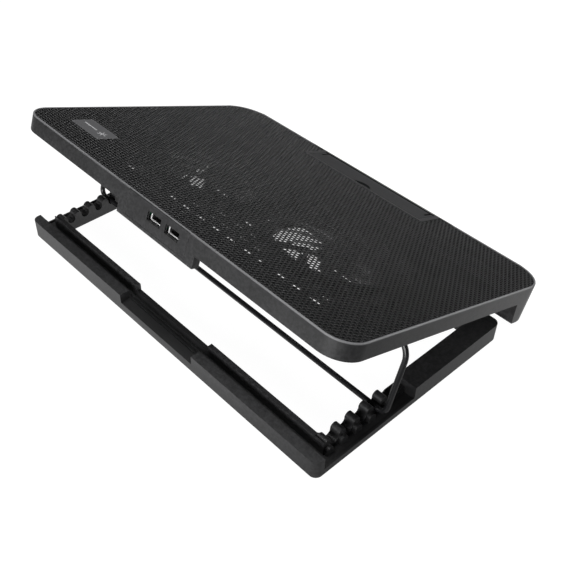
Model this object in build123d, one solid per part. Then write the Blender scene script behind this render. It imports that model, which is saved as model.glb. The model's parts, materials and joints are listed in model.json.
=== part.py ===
"""Laptop cooling pad: a tilting deck with two fans, hinged to a base frame and propped on a wire stand.

+X is the user's right, +Y the rear edge with the sockets, +Z up. The origin is on the table, in the
middle of the object's footprint. Deck parts are drawn flat first, in the deck's own frame: x across,
v back from the front edge and n down from the top face, and then tilted into place.
"""
from math import cos, hypot, radians, sin
import os

from build123d import *

# ---- driving dimensions, mm ----
DECK_W, DECK_D = 365.0, 260.0        # deck outline
DECK_WALL_H = 14.0                   # height of the deck's side walls
DECK_FRONT_R, DECK_REAR_R = 30.0, 21.0
WALL = 2.2                           # moulded wall thickness
RIM = 1.6                            # rim that stands around the mesh
TUB_DEPTH = 24.0                     # deck top to the underside of the fan tub
TUB_HALF_W, TUB_V0, TUB_V1 = 131.0, 62.0, 228.0
COVER_T = 1.8
FOOT_DEPTH = 33.0                    # deck top to the underside of the front foot
FOOT_V_TOP, FOOT_V_BOTTOM = 41.5, 35.6
FOOT_NOSE_R = 6.5
FOOT_PAD_X, FOOT_PAD_W = (-160.0, -60.0, 60.0, 134.0), 26.0
MESH_LEDGE, MESH_LEDGE_N = 5.5, 3.4  # ledge under the rim that carries the mesh
TILT = 20.58                         # deck angle with the stand in its fourth notch
DECK_FRONT_Y, DECK_FRONT_Z = -129.27, 30.30

BASE_W, BASE_H = 357.0, 16.3
BASE_REAR_Y, BASE_FRONT_Y = 129.2, -74.2
PAD_T = 1.2                          # rubber pads under the base
PAD_X, PAD_Y = 169.0, (-62.0, 20.0, 108.0)
PAD_HALF_W, PAD_HALF_L = 5.5, 11.0
RAIL_IN = 160.0                      # inner face of the side rails, from the middle
RACK_OUT = 168.5                     # outer face of the toothed rack
LIP_IN, LIP_H = 176.8, 5.5
TROUGH_FLOOR = 4.0
BOX_REAR_Y = 27.5                    # where the closed front half of a rail begins
LEDGE_Y = 120.7                      # rear ledge of the rear bar
CHANNEL_Y = 112.5                    # channel that takes the folded stand
REAR_BAR_IN_Y = 108.8
FRONT_BAR_IN_Y = -56.2
FINGER_HALF_W, FINGER_LEDGE_H, FINGER_WALL_H = 45.2, 8.0, 10.0
CORNER_R = 6.0
TOOTH_PITCH, TOOTH_W, VALLEY_Z = 14.3, 7.0, 8.0
LAST_TOOTH_Y = 50.9
TEETH = 5
LOBE_OUT, LOBE_TOP = 171.5, 11.0     # lower outer half of each tooth
RIB_Y, RIB_T, RIB_H = (114.4, 117.6), 0.9, 0.8

HINGE_V, HINGE_N = 6.56, 25.0        # hinge axis in the deck frame
HINGE_Y, HINGE_Z = -114.34, 9.2      # the same axis in the object's frame
HINGE_X = 120.0
ARM_W, ARM_T = 14.0, 7.2
PIN_R = 1.5
CHEEK_IN, CHEEK_OUT = 8.2, 13.4      # deck cheeks on both sides of an arm, from its middle

ROD_R = 2.2                          # wire stand
STAND_X = 176.2
STAND_TOP_R, STAND_LOW_R = 16.0, 6.0
STAND_FOOT_Y, STAND_FOOT_Z = 58.05, 11.7
STAND_V, STAND_N = 172.5, 21.5       # pivot of the stand under the deck's edge
STAND_END_X = 140.0
CLIP_X, CLIP_HALF_W = 145.0, 4.0
CLIP_FOOT = 14.0                     # half length of a clip's mounting foot
CLIP_SCREW_REACH = 10.0

FAN_X, FAN_V = 68.7, 129.6
FAN_RING_R, FAN_RING_T = 56.0, 2.4
BLADES, BLADE_R, HUB_R = 11, 53.5, 15.0
BLADE_PITCH = 30.0
FAN_TOP_N, FAN_FLOOR_N = 13.0, 22.2
FAN_WINDOW_R = 54.0
SPOKE_DISC_R, SPOKE_W, SPOKE_ANGLES = 17.0, 3.4, (45, 135)
VENT_ROWS, VENT_REAR_V, VENT_ROW_PITCH = 12, 198.8, 11.75
VENT_PITCH, VENT_L, VENT_W = 18.0, 11.5, 4.2
VENT_FREE_R = 65.0                   # no slots this close to a fan's middle

PORT_X = (3.1, -17.4)                # socket centres
PORT_N = 10.1
PORT_CUT_W, PORT_CUT_H = 15.2, 7.2
SHELL_HALF_W, SHELL_HALF_H, SHELL_T = 6.7, 3.0, 0.4
SHELL_V0, SHELL_MOUTH_V, SHELL_LIP = 241.7, 256.4, 0.5
PANEL_HALF_W, PANEL_N0, PANEL_N1, PANEL_T = 34.5, 0.8, 21.0, 1.7
PANEL_GAP = 0.12
BOSS_HALF_W, BOSS_T = 44.2, 6.8
BAY_HALF_W, BAY_V0, BAY_DEPTH = 42.0, 235.5, 17.0
BOARD_X, BOARD_V, BOARD_N = (-34.0, 22.0), (239.5, 252.6), (13.2, 14.6)
TONGUE_HALF_W, TONGUE_V = 5.6, (242.2, 254.6)
BADGE_X, BADGE_V, BADGE_RISE = (116.8, 154.8), (211.3, 232.5), 0.3
MESH_TOP_N, MESH_BACK_N = 0.5, 1.35

FLAP_HALF_W, FLAP_V0, FLAP_V1, FLAP_T = 66.0, 5.2, 27.4, 3.0
FLAP_AXIS_V, FLAP_AXIS_N = 8.0, 3.4
FLAP_PIN_R = 1.2
TRAY_HALF_W, TRAY_V, TRAY_N = 71.0, (1.5, 31.0), 9.0
RECESS_HALF_W, RECESS_V, RECESS_N = 66.6, (3.4, 28.0), 7.4

COVER_SCREWS = [(sx * 176.8, v) for sx in (-1, 1) for v in (75.0, 155.0, 232.0)]
COVER_SCREWS += [(sx * 110.0, 254.4) for sx in (-1, 1)]
POST_R, POST_N = 3.5, (1.4, 12.2)    # screw posts inside the deck
SCREW_R, HOLE_R, CLEAR_R, SINK_R = 1.2, 1.25, 1.6, 2.8
FAN_TAB_R = 62.0

DECK = Pos(0, DECK_FRONT_Y, DECK_FRONT_Z) * Rot(TILT, 0, 0)


def slab(x0, x1, y0, y1, z0, z1):
    """Box between two corners."""
    return Pos((x0 + x1) / 2, (y0 + y1) / 2, (z0 + z1) / 2) * Box(abs(x1 - x0), abs(y1 - y0), abs(z1 - z0))


def deck_slab(x0, x1, v0, v1, n0, n1):
    """Box in the deck frame, with depths measured down from the top face."""
    return slab(x0, x1, v0, v1, -n1, -n0)


def disc(x, v, n0, n1, r):
    """Upright cylinder in the deck frame."""
    return Pos(x, v, -(n0 + n1) / 2) * Cylinder(r, n1 - n0)


def rod_x(x0, x1, v, n, r):
    """Cylinder along X in the deck frame."""
    return Pos((x0 + x1) / 2, v, -n) * Rot(0, 90, 0) * Cylinder(r, abs(x1 - x0))


def outline(inset):
    """Deck outline, moved in by inset, as a face at the top of the deck."""
    face = Pos(0, DECK_D / 2) * Rectangle(DECK_W - 2 * inset, DECK_D - 2 * inset)
    rows = face.vertices().group_by(Axis.Y)
    face = fillet(rows[0], DECK_FRONT_R - inset)
    return fillet(face.vertices().group_by(Axis.Y)[-1][:2], DECK_REAR_R - inset)


def prism(inset, n0, n1):
    """Deck outline as a solid between two depths."""
    return Pos(0, 0, -n1) * extrude(outline(inset), n1 - n0)


def foot_profile(inset):
    """Side profile of the front foot: round nose, flat sole and a leaning rear face."""
    nose = FOOT_NOSE_R - inset
    sole = FOOT_DEPTH - inset
    lean = (FOOT_V_TOP - FOOT_V_BOTTOM) / (FOOT_DEPTH - DECK_WALL_H)
    top_v = FOOT_V_TOP - 1.05 * inset
    low_v = top_v - lean * (sole - DECK_WALL_H)
    with BuildSketch(Plane.YZ) as sk:
        with BuildLine():
            Polyline((inset, -2.0), (inset, -(sole - nose)))
            RadiusArc((inset, -(sole - nose)), (inset + nose, -sole), -nose)
            Polyline((inset + nose, -sole), (low_v, -sole), (top_v, -DECK_WALL_H), (top_v, -2.0), (inset, -2.0))
        make_face()
    return Pos(-DECK_W / 2, 0, 0) * extrude(sk.sketch, DECK_W)


def hinge_places():
    return (-HINGE_X, HINGE_X)


def deck_frame():
    """Outer frame of the deck: walls, rim, front foot, stopper tray and the wall around the sockets."""
    shell = prism(0, 0, DECK_WALL_H)
    shell = fillet(shell.faces().sort_by(Axis.Z)[-1].edges(), 1.0)
    foot = foot_profile(0) & prism(0, 0, FOOT_DEPTH)
    body = shell + foot
    body += deck_slab(-BOSS_HALF_W, BOSS_HALF_W, DECK_D - BOSS_T, DECK_D, 8, TUB_DEPTH)
    tray = deck_slab(-TRAY_HALF_W, TRAY_HALF_W, *TRAY_V, 0, TRAY_N)
    cheeks = [deck_slab(x + side * CHEEK_IN, x + side * CHEEK_OUT, 1.5, 13.0, 16.0, 31.5)
              for x in hinge_places() for side in (-1, 1)]
    posts = [disc(x, v, *POST_N, POST_R) for x, v in COVER_SCREWS]
    kept = (Part() + [tray] + cheeks + posts) & prism(1.0, 0, FOOT_DEPTH)

    cavity = prism(WALL, 3.0, DECK_WALL_H) - deck_slab(-200, 200, 0, 2.6, 0, 20)
    cavity += foot_profile(WALL + 0.2) & prism(WALL + 0.2, 3.0, FOOT_DEPTH)
    body -= cavity
    body -= prism(RIM, -1, 1.4)
    body -= prism(MESH_LEDGE, 1.0, MESH_LEDGE_N)
    body += kept

    body -= deck_slab(-RECESS_HALF_W, RECESS_HALF_W, *RECESS_V, -1, RECESS_N)
    for side in (-1, 1):
        body -= rod_x(side * 65, side * 69.5, FLAP_AXIS_V, FLAP_AXIS_N, FLAP_PIN_R + 0.06)
    for x in hinge_places():
        body -= deck_slab(x - CHEEK_IN, x + CHEEK_IN, 2.6, 48, HINGE_N - 4.3, FOOT_DEPTH + 1)
        body -= rod_x(x - CHEEK_OUT, x + CHEEK_OUT, HINGE_V, HINGE_N, PIN_R)
    for x, v in COVER_SCREWS:
        body -= disc(x, v, 5.0, 13.0, HOLE_R)
    body -= deck_slab(-PANEL_HALF_W - PANEL_GAP, PANEL_HALF_W + PANEL_GAP, DECK_D - PANEL_T, DECK_D + 1,
                      PANEL_N0 - PANEL_GAP, PANEL_N1 + PANEL_GAP)
    for x in PORT_X:
        body -= port_cut(x)
    return body


def port_cut(x):
    """Socket opening through the rear wall."""
    w, h = PORT_CUT_W / 2, PORT_CUT_H / 2
    return deck_slab(x - w, x + w, DECK_D - 9, DECK_D + 1, PORT_N - h, PORT_N + h)


def port_panel():
    """Cover plate let into the rear wall around the two sockets."""
    panel = deck_slab(-PANEL_HALF_W, PANEL_HALF_W, DECK_D - PANEL_T, DECK_D, PANEL_N0, PANEL_N1)
    for x in PORT_X:
        panel -= port_cut(x)
    return panel


def usb_shell(x):
    """Folded metal shell of one socket, open to the rear, with a flange turned out around its mouth."""
    w, h = SHELL_HALF_W, SHELL_HALF_H
    shell = deck_slab(x - w, x + w, SHELL_V0, SHELL_MOUTH_V, PORT_N - h, PORT_N + h)
    shell += deck_slab(x - w - SHELL_LIP, x + w + SHELL_LIP, SHELL_MOUTH_V - SHELL_LIP, SHELL_MOUTH_V,
                       PORT_N - h - SHELL_LIP, PORT_N + h + SHELL_LIP)
    w, h = w - SHELL_T, h - SHELL_T
    return shell - deck_slab(x - w, x + w, TONGUE_V[0], SHELL_MOUTH_V + 1, PORT_N - h, PORT_N + h)


def usb_tongue(x):
    """Plastic tongue that carries the contacts of one socket."""
    return deck_slab(x - TONGUE_HALF_W, x + TONGUE_HALF_W, *TONGUE_V, PORT_N - 1.7, PORT_N + 0.1)


def hub_board():
    """Circuit board under the sockets."""
    return deck_slab(*BOARD_X, *BOARD_V, *BOARD_N)


def mesh_panel():
    """Sheet-metal mesh that the laptop lies on, drawn here as a plain sheet."""
    sheet = prism(RIM + 0.3, MESH_TOP_N, MESH_BACK_N)
    half_w = TRAY_HALF_W + 0.3
    return sheet - deck_slab(-half_w, half_w, -1, TRAY_V[1] + 0.3, 0, 2)


def badge_plate():
    """Blank name plate on the mesh."""
    return deck_slab(*BADGE_X, *BADGE_V, -BADGE_RISE, MESH_TOP_N)


def fan_places():
    return (("left", -FAN_X), ("right", FAN_X))


def vent_slots():
    """Rows of air slots in the tub floor, left out where the fans blow."""
    slots = []
    for row in range(VENT_ROWS):
        v = VENT_REAR_V - row * VENT_ROW_PITCH
        for column in range(-6, 7):
            x = column * VENT_PITCH
            from_fan = min(hypot(x - fx, v - FAN_V) for _, fx in fan_places())
            if from_fan > VENT_FREE_R:
                slots.append(Pos(x, v, -TUB_DEPTH) * extrude(SlotOverall(VENT_L, VENT_W), 5, both=True))
    return slots


def fan_grille(x):
    """Open window under one fan, crossed by four bars that meet in a disc."""
    window = disc(x, FAN_V, FAN_FLOOR_N - 1, TUB_DEPTH + 1, FAN_WINDOW_R)
    window -= disc(x, FAN_V, FAN_FLOOR_N - 2, TUB_DEPTH + 2, SPOKE_DISC_R)
    for angle in SPOKE_ANGLES:
        window -= Pos(x, FAN_V, -TUB_DEPTH) * Rot(0, 0, angle) * Box(120, SPOKE_W, 12)
    return window


def clip_screw_places():
    return [(sx * CLIP_X, STAND_V + dv) for sx in (-1, 1) for dv in (-CLIP_SCREW_REACH, CLIP_SCREW_REACH)]


def fan_tab_places(x):
    reach = FAN_TAB_R * cos(radians(45))
    return [(x + sx * reach, FAN_V + sv * reach) for sx in (-1, 1) for sv in (-1, 1)]


def bottom_cover():
    """Underside of the deck: a flange inside the walls, a deep tub for the fans and a bay for the sockets."""
    flange_n = DECK_WALL_H - COVER_T
    flange = prism(WALL + 0.25, flange_n, DECK_WALL_H) - deck_slab(-200, 200, -5, FOOT_V_TOP + 0.4, 0, 20)
    flange -= deck_slab(-BOSS_HALF_W - 0.3, BOSS_HALF_W + 0.3, DECK_D - BOSS_T - 0.3, DECK_D, 0, 30)
    tub = tub_block(0, flange_n, TUB_DEPTH)
    bay = deck_slab(-BAY_HALF_W, BAY_HALF_W, BAY_V0, DECK_D - BOSS_T - 0.3, flange_n, BAY_DEPTH)
    cover = flange + tub + bay
    cover -= tub_block(COVER_T, flange_n - 1, FAN_FLOOR_N)
    bay_in = BAY_HALF_W - COVER_T
    cover -= deck_slab(-bay_in, bay_in, BAY_V0 + COVER_T, DECK_D, flange_n - 1, BAY_DEPTH - 1.6)
    cover += [disc(x, v, 7.5, flange_n + 0.5, 3.0) for x, v in clip_screw_places()]
    cover -= vent_slots()
    for _, x in fan_places():
        cover -= fan_grille(x)
        for tx, tv in fan_tab_places(x):
            cover -= disc(tx, tv, 20, 25, CLEAR_R)
            cover -= disc(tx, tv, 23.0, 25, SINK_R)
    for x, v in clip_screw_places():
        cover -= disc(x, v, 8.2, 15, HOLE_R)
    for x, v in COVER_SCREWS:
        cover -= disc(x, v, 10, 15, CLEAR_R)
        cover -= disc(x, v, 13.0, 15, SINK_R)
    return cover


def tub_block(inset, n0, n1):
    """Rounded block of the fan tub between two depths."""
    w = 2 * (TUB_HALF_W - inset)
    d = TUB_V1 - TUB_V0 - 2 * inset
    plan = Pos(0, (TUB_V0 + TUB_V1) / 2, -n1) * RectangleRounded(w, d, 14 - inset)
    return extrude(plan, n1 - n0)


def screws(places, n_head, n_tip, head_r=2.6, head_t=1.0, r=SCREW_R):
    """Pan-head screws driven up from below, as separate solids."""
    made = []
    for x, v in places:
        made.append(disc(x, v, n_head - head_t, n_head, head_r) + disc(x, v, n_tip, n_head - head_t, r))
    return Compound(children=made)


def fan_frame(x):
    """Ring, motor plate, four spokes and bearing tube of one fan."""
    ring = disc(x, FAN_V, FAN_TOP_N - 0.5, FAN_FLOOR_N, FAN_RING_R + FAN_RING_T)
    tabs = [disc(tx, tv, 15.0, FAN_FLOOR_N, 4.6) for tx, tv in fan_tab_places(x)]
    frame = ring + tabs
    frame -= disc(x, FAN_V, 0, FAN_FLOOR_N + 1, FAN_RING_R)
    frame += disc(x, FAN_V, 20.9, FAN_FLOOR_N, SPOKE_DISC_R)
    frame += disc(x, FAN_V, 15.2, 21.0, 4.4)
    for angle in SPOKE_ANGLES:
        spoke = Pos(x, FAN_V, -(20.9 + FAN_FLOOR_N) / 2) * Rot(0, 0, angle)
        frame += spoke * Box(2 * FAN_RING_R + 2, SPOKE_W, FAN_FLOOR_N - 20.9)
    frame -= disc(x, FAN_V, 10, 20.6, 2.6)
    for tx, tv in fan_tab_places(x):
        frame -= disc(tx, tv, 16.5, FAN_FLOOR_N + 1, HOLE_R)
    return frame


def fan_rotor(x):
    """Hub cap with eleven pitched blades."""
    hub = disc(x, FAN_V, FAN_TOP_N, 20.2, HUB_R) - disc(x, FAN_V, FAN_TOP_N + 1.6, 21, 13.4)
    hub -= disc(x, FAN_V, FAN_TOP_N + 0.8, 20, PIN_R)
    middle_n = (FAN_TOP_N + 20.3) / 2
    chord = (20.3 - FAN_TOP_N - 1.2) / sin(radians(BLADE_PITCH))
    length = BLADE_R - HUB_R + 1.0
    rotor = hub
    for k in range(BLADES):
        turn = Pos(x, FAN_V, -middle_n) * Rot(0, 0, k * 360 / BLADES)
        rotor += turn * Pos(HUB_R - 1.0 + length / 2, 0, 0) * Rot(BLADE_PITCH, 0, 0) * Box(length, chord, 1.2)
    return rotor - disc(x, FAN_V, FAN_TOP_N + 1.6, 21, 13.4)


def fan_magnet(x):
    """Ring magnet glued inside the hub cap."""
    return disc(x, FAN_V, 14.8, 20.0, 13.4) - disc(x, FAN_V, 14, 21, 12.0)


def fan_shaft(x):
    return disc(x, FAN_V, FAN_TOP_N + 0.8, 20.4, PIN_R)


def fan_bearing(x):
    """Sintered sleeve bearing pressed into the bearing tube."""
    return disc(x, FAN_V, 15.6, 20.5, 2.6) - disc(x, FAN_V, 15, 21, PIN_R + 0.06)


def fan_stator(x):
    """Wound core on the bearing tube, with its four poles."""
    core = disc(x, FAN_V, 16.2, 20.4, 7.2)
    for angle in (0, 90):
        core += Pos(x, FAN_V, -18.3) * Rot(0, 0, angle) * Box(20.0, 6.0, 3.4)
    core = core & disc(x, FAN_V, 16, 20.6, 11.4)
    return core - disc(x, FAN_V, 15, 21, 4.4)


def fan_leads():
    """Two-wire lead of each fan, lying on the tub floor behind it."""
    leads = []
    for _, x in fan_places():
        inner = -1 if x > 0 else 1
        start = x + inner * 10
        for k in range(2):
            dx = k * 1.4
            path = Polyline((start + dx, 190.5, -21.4), (start + dx, 224.5, -21.4))
            leads.append(sweep(Plane(path @ 0, z_dir=path % 0) * Circle(0.6), path))
    return Compound(children=leads)


def stopper_flap():
    """Flap that stands up to hold the laptop, with a finger notch and two hinge tabs."""
    flap = deck_slab(-FLAP_HALF_W, FLAP_HALF_W, FLAP_V0, FLAP_V1, 0.2, 0.2 + FLAP_T)
    flap += [rod_x(side * 63.8, side * FLAP_HALF_W, FLAP_AXIS_V, FLAP_AXIS_N, 2.6) for side in (-1, 1)]
    for side in (-1, 1):
        flap -= deck_slab(side * 61.6, side * 63.6, FLAP_V0 - 1, 14.0, -1, 5)
        flap -= rod_x(side * 63, side * 67, FLAP_AXIS_V, FLAP_AXIS_N, FLAP_PIN_R)
    return flap - disc(0, FLAP_V1 + 5.2, -1, 2.2, 11.0)


def stopper_pins():
    """Steel pins of the stopper flap."""
    pins = [rod_x(side * 63.9, side * 69.3, FLAP_AXIS_V, FLAP_AXIS_N, FLAP_PIN_R) for side in (-1, 1)]
    return Compound(children=pins)


def hinge_pins():
    """Steel pins that join the deck to the base arms."""
    return Compound(children=[rod_x(x - 13.2, x + 13.2, HINGE_V, HINGE_N, PIN_R) for x in hinge_places()])


def foot_pads():
    """Rubber strips around the nose of the foot, on which the deck rolls as it tilts."""
    centre_v, centre_n = FOOT_NOSE_R, FOOT_DEPTH - FOOT_NOSE_R
    pads = []
    for x in FOOT_PAD_X:
        end = x + FOOT_PAD_W
        ring = rod_x(x, end, centre_v, centre_n, FOOT_NOSE_R + PAD_T)
        ring -= rod_x(x - 1, end + 1, centre_v, centre_n, FOOT_NOSE_R)
        quarter = deck_slab(x - 1, end + 1, -3, centre_v + 0.3, centre_n + 2.2, FOOT_DEPTH + 3)
        pads.append(ring & quarter)
    return Compound(children=pads)


def stand_clip(side):
    """Saddle clip that holds the stand's pivot leg under the deck's flange."""
    x0, x1 = side * (CLIP_X - CLIP_HALF_W), side * (CLIP_X + CLIP_HALF_W)
    clip = deck_slab(x0, x1, STAND_V - 5, STAND_V + 5, DECK_WALL_H, STAND_N + 4.2)
    clip += deck_slab(x0, x1, STAND_V - CLIP_FOOT, STAND_V + CLIP_FOOT, DECK_WALL_H, DECK_WALL_H + 2.2)
    clip -= rod_x(x0 - side, x1 + side, STAND_V, STAND_N, ROD_R + 0.08)
    for x, v in clip_screw_places():
        clip -= disc(x, v, 10, 20, 1.3)
    return clip


def deck_point(x, v, n):
    """Place of a deck-frame point in the object's frame."""
    t = radians(TILT)
    return (x, DECK_FRONT_Y + v * cos(t) + n * sin(t), DECK_FRONT_Z + v * sin(t) - n * cos(t))


def wire_stand():
    """One bent steel rod: crossbar in the rack, two arms, and two legs that pivot under the deck."""
    pivot = deck_point(0, STAND_V, STAND_N)[1:]
    foot = (STAND_FOOT_Y, STAND_FOOT_Z)
    points = [(-STAND_END_X, *pivot), (-STAND_X, *pivot), (-STAND_X, *foot)]
    points += [(-x, y, z) for x, y, z in reversed(points)]
    path = FilletPolyline(*points, radius=[STAND_TOP_R, STAND_LOW_R, STAND_LOW_R, STAND_TOP_R])
    return sweep(Plane(path @ 0, z_dir=path % 0) * Circle(ROD_R), path)


def base_slab(x0, x1, y0, y1, h0, h1):
    """Box in the base, with heights measured from the base's own underside."""
    return slab(x0, x1, y0, y1, PAD_T + h0, PAD_T + h1)


def rack_cut(side):
    """What is cut from a rail between the teeth, leaving rounded tips and round valleys."""
    r = (TOOTH_PITCH - TOOTH_W) / 2
    x0, x1 = side * (RAIL_IN - 1), side * (RACK_OUT + 0.01)
    valley = Pos((x0 + x1) / 2, 0, PAD_T + VALLEY_Z + r) * Rot(0, 90, 0) * Cylinder(r, abs(x1 - x0))
    cuts = []
    for k in range(TEETH):
        y = LAST_TOOTH_Y + (k - 0.5) * TOOTH_PITCH
        gap = base_slab(x0, x1, y - r, y + r, VALLEY_Z + r, BASE_H + 1)
        cuts.append(gap + Pos(0, y, 0) * valley)
    return cuts


def tooth_tops(side):
    """Corners taken off each tooth so that its tip is a half round."""
    r = TOOTH_W / 2
    x_mid, width = side * (RAIL_IN + RACK_OUT) / 2, RACK_OUT - RAIL_IN + 1
    cuts = []
    for k in range(TEETH):
        y = LAST_TOOTH_Y + k * TOOTH_PITCH
        block = base_slab(x_mid - width / 2, x_mid + width / 2, y - r, y + r, BASE_H - r, BASE_H + 1)
        cuts.append(block - Pos(x_mid, y, PAD_T + BASE_H - r) * Rot(0, 90, 0) * Cylinder(r, width + 2))
    return cuts


def tooth_lobes(side):
    """Lower round-topped half of each tooth, on the trough side."""
    r = TOOTH_W / 2
    x0, x1 = side * (RACK_OUT - 0.5), side * LOBE_OUT
    lobes = []
    for k in range(TEETH):
        y = LAST_TOOTH_Y + k * TOOTH_PITCH
        lobes.append(base_slab(x0, x1, y - r, y + r, 1, LOBE_TOP - r))
        lobes.append(Pos((x0 + x1) / 2, y, PAD_T + LOBE_TOP - r) * Rot(0, 90, 0) * Cylinder(r, abs(x1 - x0)))
    return lobes


def base_frame():
    """Moulded base: rear bar with its channel, racked side rails, front bar and two hinge arms."""
    depth = BASE_REAR_Y - BASE_FRONT_Y
    plan = RectangleRounded(BASE_W, depth, CORNER_R)
    frame = extrude(Pos(0, BASE_REAR_Y - depth / 2, PAD_T) * plan, BASE_H)
    hole = Pos(0, (REAR_BAR_IN_Y + FRONT_BAR_IN_Y) / 2, PAD_T - 1)
    frame -= hole * extrude(RectangleRounded(2 * RAIL_IN, REAR_BAR_IN_Y - FRONT_BAR_IN_Y, 2.0), BASE_H + 2)

    half_w = BASE_W / 2
    frame -= base_slab(-half_w - 1, half_w + 1, CHANNEL_Y, LEDGE_Y, TROUGH_FLOOR, BASE_H + 1)
    for side in (-1, 1):
        frame -= base_slab(side * RACK_OUT, side * LIP_IN, BOX_REAR_Y, LEDGE_Y, TROUGH_FLOOR, BASE_H + 1)
        frame -= base_slab(side * RACK_OUT, side * (half_w + 1), BOX_REAR_Y, LEDGE_Y, LIP_H, BASE_H + 1)
        low_end = LAST_TOOTH_Y - TOOTH_W / 2
        frame -= base_slab(side * (RAIL_IN - 1), side * (RACK_OUT + 1), BOX_REAR_Y, low_end,
                           VALLEY_Z + 1.5, BASE_H + 1)
        frame -= rack_cut(side)
        frame -= tooth_tops(side)
        frame += base_slab(side * LIP_IN, side * half_w, CHANNEL_Y, LEDGE_Y, 0, LIP_H)
        frame += tooth_lobes(side)
    frame += [base_slab(-RAIL_IN, RAIL_IN, y, y + RIB_T, 1, TROUGH_FLOOR + RIB_H) for y in RIB_Y]
    w = FINGER_HALF_W
    frame -= base_slab(-w, w, LEDGE_Y - 0.01, BASE_REAR_Y + 1, FINGER_LEDGE_H, BASE_H + 1)
    frame -= base_slab(-w, w, REAR_BAR_IN_Y - 1, CHANNEL_Y + 0.01, FINGER_WALL_H, BASE_H + 1)
    for x in hinge_places():
        frame += hinge_arm(x)
    return frame


def hinge_arm(x):
    """Arm that reaches forward from the front bar into the deck's foot, with its pin bore."""
    w, t = ARM_W / 2, ARM_T / 2
    arm = slab(x - w, x + w, HINGE_Y, BASE_FRONT_Y + 1, HINGE_Z - t, HINGE_Z + t)
    across = Pos(x, HINGE_Y, HINGE_Z) * Rot(0, 90, 0)
    arm += across * Cylinder(t, ARM_W)
    return arm - across * Cylinder(PIN_R + 0.08, ARM_W + 2)


def base_pads():
    """Rubber pads glued under the base."""
    w, d = PAD_HALF_W, PAD_HALF_L
    places = [(sx * PAD_X, y) for sx in (-1, 1) for y in PAD_Y]
    return Compound(children=[slab(x - w, x + w, y - d, y + d, 0, PAD_T) for x, y in places])


def build_nodes():
    """Every sub-part by name."""
    nodes = {
        "base_frame": base_frame(),
        "base_pads": base_pads(),
        "wire_stand": wire_stand(),
    }
    deck_parts = {
        "deck_frame": deck_frame(),
        "mesh_panel": mesh_panel(),
        "badge_plate": badge_plate(),
        "bottom_cover": bottom_cover(),
        "port_panel": port_panel(),
        "hub_board": hub_board(),
        "stopper_flap": stopper_flap(),
        "stopper_pins": stopper_pins(),
        "hinge_pins": hinge_pins(),
        "foot_pads": foot_pads(),
        "stand_clip_left": stand_clip(-1),
        "stand_clip_right": stand_clip(1),
        "fan_leads": fan_leads(),
        "cover_screws": screws(COVER_SCREWS, DECK_WALL_H, 6.0),
        "clip_screws": screws(clip_screw_places(), DECK_WALL_H + 3.4, 8.6, head_t=1.2),
        "fan_screws": screws([p for _, x in fan_places() for p in fan_tab_places(x)], TUB_DEPTH, 17.0),
    }
    for name, x in zip(("a", "b"), PORT_X):
        deck_parts[f"usb_shell_{name}"] = usb_shell(x)
        deck_parts[f"usb_tongue_{name}"] = usb_tongue(x)
    makers = {"frame": fan_frame, "rotor": fan_rotor, "magnet": fan_magnet, "shaft": fan_shaft,
              "bearing": fan_bearing, "stator": fan_stator}
    for side, x in fan_places():
        for piece, make in makers.items():
            deck_parts[f"fan_{piece}_{side}"] = make(x)
    for name, piece in deck_parts.items():
        nodes[name] = DECK * piece
    return nodes


os.makedirs("parts", exist_ok=True)
for node_name, node in build_nodes().items():
    export_step(node, f"parts/{node_name}.step")
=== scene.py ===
"""Laptop cooling pad: a tilting mesh deck with two fans, hinged to a low base and propped on a bent wire."""

import json
from math import cos, pi, radians, sin

import bmesh
import bpy
import numpy as np
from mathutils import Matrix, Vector

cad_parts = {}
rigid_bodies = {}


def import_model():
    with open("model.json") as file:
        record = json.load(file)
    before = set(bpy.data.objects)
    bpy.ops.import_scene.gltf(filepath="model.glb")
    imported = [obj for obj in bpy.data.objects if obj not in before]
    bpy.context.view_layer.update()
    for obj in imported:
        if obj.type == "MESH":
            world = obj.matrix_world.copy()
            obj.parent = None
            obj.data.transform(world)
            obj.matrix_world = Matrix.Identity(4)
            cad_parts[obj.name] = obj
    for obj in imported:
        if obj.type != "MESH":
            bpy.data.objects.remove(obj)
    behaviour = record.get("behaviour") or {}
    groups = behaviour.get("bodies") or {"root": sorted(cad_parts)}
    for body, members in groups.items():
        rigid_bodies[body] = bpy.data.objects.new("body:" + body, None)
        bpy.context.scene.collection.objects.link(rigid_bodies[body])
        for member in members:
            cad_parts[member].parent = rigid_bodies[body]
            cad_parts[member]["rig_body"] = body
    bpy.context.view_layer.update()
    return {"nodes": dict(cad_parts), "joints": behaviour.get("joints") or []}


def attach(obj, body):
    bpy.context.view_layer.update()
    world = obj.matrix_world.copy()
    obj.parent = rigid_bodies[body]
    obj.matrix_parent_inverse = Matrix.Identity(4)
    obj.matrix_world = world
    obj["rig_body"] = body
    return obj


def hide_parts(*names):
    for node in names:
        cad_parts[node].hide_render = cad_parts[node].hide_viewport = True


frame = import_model()


# ---------------------------------------------------------------------------------------------
# Base frame. One moulding in black ABS, with a fine spark-eroded grain from the tool and corners
# that rub bright with handling. It stands on the desk and carries the hinge, the stand's rack
# and the channel that the stand folds into.

def node_group(name, inputs, outputs):
    """An empty shader group with the named sockets, and its two end nodes."""
    group = bpy.data.node_groups.new(name, "ShaderNodeTree")
    for label, kind, value in inputs:
        socket = group.interface.new_socket(label, in_out="INPUT", socket_type=kind)
        if value is not None:
            socket.default_value = value
    for label, kind in outputs:
        group.interface.new_socket(label, in_out="OUTPUT", socket_type=kind)
    return group, group.nodes.new("NodeGroupInput"), group.nodes.new("NodeGroupOutput")


def add_node(tree, kind, links=None, **values):
    """A node of that kind with its properties and sockets set; links joins outputs to its inputs."""
    node = tree.nodes.new(kind)
    for key, value in values.items():
        if hasattr(node, key):
            setattr(node, key, value)
        else:
            node.inputs[key.replace("_", " ")].default_value = value
    for key, source in (links or {}).items():
        tree.links.new(source, node.inputs[key])
    return node


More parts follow.
